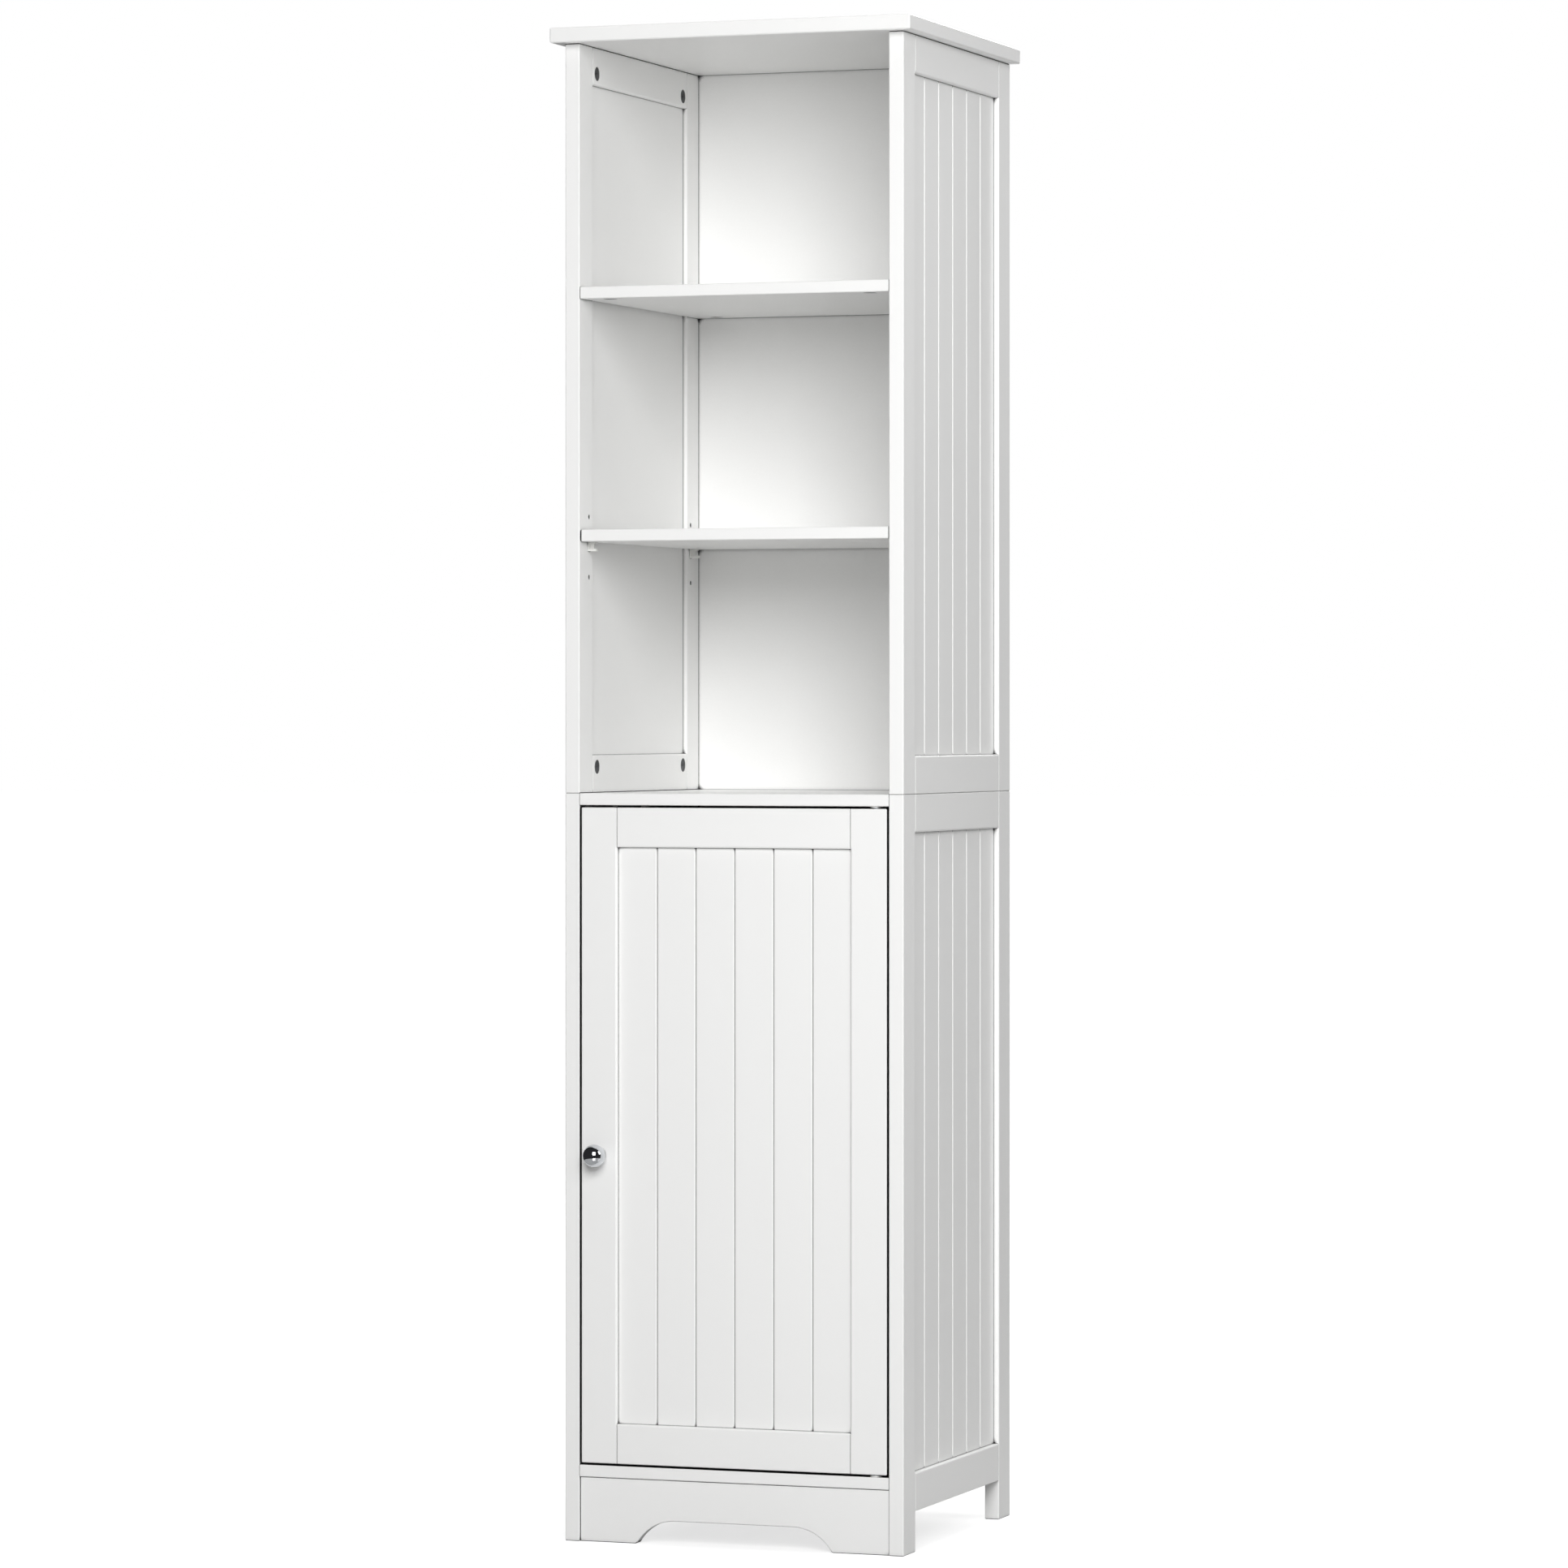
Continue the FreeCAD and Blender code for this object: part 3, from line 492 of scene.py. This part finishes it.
# Door knob: a turned brass ball on a short neck and foot, buffed and chromed, drawn against the
# left stile by a screw from inside the door.
# Polished chrome: a clear cool mirror with the faintest haze from handling.
ball_radius = 12 * mm
ball_ahead = 15 * mm
neck_radius = 5 * mm
neck_cove = 0.8 * mm
foot_radius = 7 * mm
foot_height = 1.6 * mm
foot_round = 0.5 * mm
ball_bands = 44
cove_bands = 3
foot_bands = 4
knob_facets = 72
handling = 9 * mm
chrome, tree, place = start_material("polished_chrome")
touch = add_node(tree, "TexNoise", {"Vector": place, "Scale": 1 / handling, "Detail": 3.0})
colour = add_node(tree, "Mix", {mix_share: touch.outputs["Fac"], mix_first: linear("#dfe1e4"),
                                mix_second: linear("#d3d6da")}, data_type="RGBA")
haze = add_node(tree, "MapRange", {"Value": touch.outputs["Fac"], "To Min": 0.03, "To Max": 0.08})
surface = add_node(tree, "BsdfPrincipled", {"Base Color": colour.outputs[mixed], "Metallic": 1.0,
                                            "Roughness": haze.outputs["Result"]})
add_node(tree, "OutputMaterial", {"Surface": surface.outputs["BSDF"]})
profile = [(0, 0), (foot_radius, 0)]
for band in range(foot_bands + 1):
    angle = band / foot_bands * math.pi / 2
    profile.append((foot_radius - foot_round * (1 - math.cos(angle)),
                    foot_height - foot_round * (1 - math.sin(angle))))
for band in range(cove_bands + 1):
    angle = band / cove_bands * math.pi / 2
    profile.append((neck_radius + neck_cove * (1 - math.sin(angle)),
                    foot_height + neck_cove * (1 - math.cos(angle))))
neck_bend = math.acos((neck_radius + neck_cove / 2) / ball_radius)
for band in range(ball_bands + 1):
    angle = -neck_bend + band / ball_bands * (neck_bend + math.pi / 2)
    profile.append((ball_radius * math.cos(angle), ball_ahead + ball_radius * math.sin(angle)))
knob = turned("chromed_knob", profile, knob_facets)
set_along(knob, rear_middle(*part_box("door_knob")), forwards)
fit_piece(knob, chrome, "door", "door_knob")

# Knob screw: a pan-head machine screw of plated steel, driven from inside the door through the
# left stile into the knob. Its thread is drawn as rings too.
pan_radius = 4 * mm
pan_height = 2.5 * mm
pan_round = 1.4 * mm
pan_bands = 5
pan_recess = 1.4 * recess_length
bolt_radius = 2 * mm
bolt_root = 1.6 * mm
bolt_pitch = 1.4 * mm
bolt_plain = 10 * mm
bolt_end = 0.6 * mm
bolt_facets = 32
screw_low, screw_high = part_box("knob_screw")
screw_length = screw_high.y - screw_low.y
profile = [(0, 0), (pan_radius - pan_round, 0)]
for band in range(1, pan_bands + 1):
    angle = band / pan_bands * math.pi / 2
    profile.append((pan_radius - pan_round * (1 - math.sin(angle)), pan_round * (1 - math.cos(angle))))
profile += [(pan_radius, pan_height), (bolt_radius, pan_height), (bolt_radius, pan_height + bolt_plain)]
height = pan_height + bolt_plain
while height + bolt_pitch < screw_length - bolt_end:
    profile += [(bolt_root, height + bolt_pitch / 2), (bolt_radius, height + bolt_pitch)]
    height += bolt_pitch
profile += [(bolt_root, screw_length - bolt_end), (bolt_root - bolt_end, screw_length),
            (0, screw_length)]
knob_bolt = turned("knob_bolt", profile, bolt_facets)
press_cross(knob_bolt, pan_recess, recess_width, recess_depth)
set_along(knob_bolt, rear_middle(screw_low, screw_high), forwards)
fit_piece(knob_bolt, plated_steel, "door", "knob_screw")

# Pivots: plated steel pins pressed into the ends of the right stile turn in white moulded bushes,
# one in the bottom board and one in the deck.
bush_edge = 0.25 * mm
pin_chamfer = 0.3 * mm
for end in ("bottom", "top"):
    fit_piece(rounded_copy(f"{end}_pivot_bush", f"{end}_moulded_bush", bush_edge), plastic, "carcass",
              f"{end}_pivot_bush")
    fit_piece(rounded_copy(f"{end}_pivot_pin", f"{end}_turned_pin", pin_chamfer), plated_steel, "door",
              f"{end}_pivot_pin")

# Magnetic catch: a moulded housing screwed under the deck holds a magnet between two steel pole
# plates. Their edges stand just proud of it and meet the strike plate on the door.
# Ferrite: a pressed black ceramic, matt and finely grained.
housing_edge = 0.6 * mm
magnet_edge = 0.3 * mm
plate_edge = 0.2 * mm
ferrite_grain = 0.7 * mm
grain_height = 0.05 * mm
ferrite, tree, place = start_material("pressed_ferrite")
grit = add_node(tree, "TexNoise", {"Vector": place, "Scale": 1 / ferrite_grain, "Detail": 4.0})
colour = add_node(tree, "Mix", {mix_share: grit.outputs["Fac"], mix_first: linear("#3a393b"),
                                mix_second: linear("#242325")}, data_type="RGBA")
relief = add_node(tree, "Bump", {"Height": grit.outputs["Fac"], "Strength": 0.5,
                                 "Distance": grain_height})
surface = add_node(tree, "BsdfPrincipled", {"Base Color": colour.outputs[mixed], "Roughness": 0.62,
                                            "Normal": relief.outputs["Normal"]})
add_node(tree, "OutputMaterial", {"Surface": surface.outputs["BSDF"]})
fit_piece(rounded_copy("catch_housing", "moulded_catch_housing", housing_edge), plastic, "carcass",
          "catch_housing")
fit_piece(rounded_copy("catch_magnet", "pressed_magnet", magnet_edge), ferrite, "carcass",
          "catch_magnet")
fit_piece(rounded_copy("catch_pole_plates", "stamped_pole_plates", plate_edge), plated_steel, "carcass",
          "catch_pole_plates")
fit_piece(drive_screws("catch_screws", "catch_housing_screws"), plated_steel, "carcass",
          "catch_screws")

# Strike plate: a stamped and plated steel plate that the magnet holds while the door is shut. One
# countersunk screw fixes it inside the door.
fit_piece(rounded_copy("strike_plate", "stamped_strike_plate", plate_edge), plated_steel, "door",
          "strike_plate")
fit_piece(drive_screws("strike_screw", "strike_plate_screw"), plated_steel, "door",
          "strike_screw")

# Camera: level, ahead and to the right of the cabinet, at the photograph's viewing angle. Its
# place, turn and lens were fitted to the cabinet's corners, in pixels of the photograph's frame.
frame_pixels = 1932
focal_pixels = 7732.281
horizon_row = 884.153
camera_turn = 0.34778
camera_place = (2.292167, -6.331647, 0.870965)
lens = bpy.data.cameras.new("camera")
lens.sensor_width = 36
lens.lens = focal_pixels / frame_pixels * lens.sensor_width
lens.shift_y = (horizon_row - frame_pixels / 2) / frame_pixels
lens.clip_end = 300
camera = bpy.data.objects.new("camera", lens)
camera.location = camera_place
camera.rotation_euler = (math.pi / 2, 0, camera_turn)
bpy.context.scene.collection.objects.link(camera)
bpy.context.scene.camera = camera

# Studio lights: a large softbox ahead and to the right, weaker ones for the right side, the left
# side, the back and the top, and two small fills for the shelves and the door. Metal shows only
# those ahead, at the right side and at the back.
aim = Vector((0, 0, 0.85))


def softbox(name, azimuth, distance, height, size, power):
    """A square soft light that faces the cabinet; azimuth is measured from the cabinet's front."""
    light = bpy.data.lights.new(name, "AREA")
    light.size = size
    light.energy = power
    lamp = bpy.data.objects.new(name, light)
    angle = math.radians(azimuth)
    lamp.location = (math.sin(angle) * distance, -math.cos(angle) * distance, height)
    lamp.rotation_euler = (aim - lamp.location).to_track_quat("-Z", "Y").to_euler()
    lamp.visible_camera = False
    bpy.context.scene.collection.objects.link(lamp)
    return lamp


softbox("front_softbox", azimuth=20, distance=4.5, height=2.6, size=2.4, power=156)
softbox("side_softbox", azimuth=89, distance=3.4, height=2.4, size=2.0, power=32)
shelf_fill = softbox("shelf_fill", azimuth=45, distance=2.0, height=1.4, size=1.0, power=4)
door_fill = softbox("door_fill", azimuth=25, distance=1.8, height=1.0, size=1.2, power=4.5)
left_softbox = softbox("left_softbox", azimuth=-104, distance=3.4, height=2.2, size=1.6, power=36)
softbox("rear_softbox", azimuth=186, distance=3.2, height=2.2, size=1.8, power=56)
top_softbox = softbox("top_softbox", azimuth=150, distance=0.5, height=3.6, size=1.4, power=22)
for lamp in (shelf_fill, door_fill, left_softbox, top_softbox):
    lamp.visible_glossy = False

# White surround: white where it is seen past the floor, and a dim even light on the cabinet.
dim_strength = 0.03


def background_rays(tree):
    """One for rays that show the background as it is: from the camera, a mirror or glass."""
    ray = add_node(tree, "LightPath", {})
    seen = add_node(tree, "Math", {0: ray.outputs["Is Camera Ray"], 1: ray.outputs["Is Glossy Ray"]},
                    operation="MAXIMUM")
    return add_node(tree, "Math", {0: seen.outputs[0], 1: ray.outputs["Is Transmission Ray"]},
                    operation="MAXIMUM").outputs[0]


world = bpy.data.worlds.new("white_surround")
bpy.context.scene.world = world
world.use_nodes = True
tree = world.node_tree
tree.nodes.clear()
dim = add_node(tree, "Background", {"Color": linear("#ffffff"), "Strength": dim_strength})
white = add_node(tree, "Background", {"Color": linear("#ffffff"), "Strength": 1.0})
surround = add_node(tree, "MixShader", {0: background_rays(tree), 1: dim.outputs[0],
                                        2: white.outputs[0]})
add_node(tree, "OutputWorld", {"Surface": surround.outputs[0]})

# Floor: a pale matt sweep that keeps the cabinet's shadow and goes to white away from it. It is
# clear from below, so that the cabinet can be seen from there.
floor_width = 120
shadow_near = 0.3
shadow_far = 1.2
near_glow = 0.7
bpy.ops.object.select_all(action="DESELECT")
bpy.ops.mesh.primitive_plane_add(size=floor_width)
floor = bpy.context.object
floor.name = "floor"
pale_floor, tree, place = start_material("pale_floor")
reach = add_node(tree, "VectorMath", {0: place}, operation="LENGTH")
fade = add_node(tree, "MapRange", {"Value": reach.outputs["Value"], "From Min": shadow_near,
                                   "From Max": shadow_far, "To Min": near_glow, "To Max": 1.0})
strength = add_node(tree, "Math", {0: background_rays(tree), 1: fade.outputs["Result"]},
                    operation="MULTIPLY")
glow = add_node(tree, "Emission", {"Color": linear("#ffffff"), "Strength": strength.outputs[0]})
matt = add_node(tree, "BsdfDiffuse", {"Color": linear("#bcbcbc")})
lit = add_node(tree, "AddShader", {0: matt.outputs[0], 1: glow.outputs[0]})
clear = add_node(tree, "BsdfTransparent", {})
sides = add_node(tree, "NewGeometry", {})
one_sided = add_node(tree, "MixShader", {0: sides.outputs["Backfacing"], 1: lit.outputs[0],
                                         2: clear.outputs[0]})
add_node(tree, "OutputMaterial", {"Surface": one_sided.outputs[0]})
floor.data.materials.append(pale_floor)

# Acrylic sheet and dark studio: what the cabinet stands on and in, seen only in reflections. They
# give the chrome ball its pale lower half, its dark upper half and its bright windows.
sheet_reach = 1.15
sheet_lift = 1 * mm
room_reach = 9.0
room_height = 7.0
studio_facets = 48
dust_patch = 1000 * mm / 6
cloth_fold = 1250 * mm


def hide_from_view(thing):
    """Leaves a piece of the studio to be seen by reflections alone."""
    thing.visible_camera = False
    thing.visible_diffuse = False
    thing.visible_transmission = False
    thing.visible_volume_scatter = False
    thing.visible_shadow = False


# White acrylic: smooth and pale with a little dust. It is given more gloss than real acrylic has,
# so that the highlights in it show in the ball.
sheet = turned("acrylic_sheet", [(0, sheet_lift), (sheet_reach, sheet_lift)], studio_facets)
hide_from_view(sheet)
acrylic, tree, place = start_material("white_acrylic_sheet")
dust = add_node(tree, "TexNoise", {"Vector": place, "Scale": 1 / dust_patch, "Detail": 3.0})
shade = add_node(tree, "Mix", {mix_share: dust.outputs["Fac"], mix_first: linear("#d2d2d2"),
                               mix_second: linear("#c6c6c6")}, data_type="RGBA")
surface = add_node(tree, "BsdfPrincipled", {"Base Color": shade.outputs[mixed], "Roughness": 0.03,
                                            "IOR": 2.3})
add_node(tree, "OutputMaterial", {"Surface": surface.outputs["BSDF"]})
sheet.data.materials.append(acrylic)

# Dark studio cloth: a glowing backdrop of deep grey, its broad soft folds painted in as lighter and
# darker glow, as bright in a mirror as the colours say.
room = turned("dark_studio", [(sheet_reach, sheet_lift), (room_reach, sheet_lift),
                              (room_reach, room_height), (0, room_height)], studio_facets)
hide_from_view(room)
dark_cloth, tree, place = start_material("dark_studio_cloth")
painted_folds = add_node(tree, "TexNoise", {"Vector": place, "Scale": 1 / cloth_fold, "Detail": 2.0})
shade = add_node(tree, "Mix", {mix_share: painted_folds.outputs["Fac"], mix_first: linear("#3c3c3e"),
                               mix_second: linear("#161617")}, data_type="RGBA")
cloth_glow = add_node(tree, "Emission", {"Color": shade.outputs[mixed]})
add_node(tree, "OutputMaterial", {"Surface": cloth_glow.outputs[0]})
room.data.materials.append(dark_cloth)

bpy.context.scene.view_settings.view_transform = "Standard"
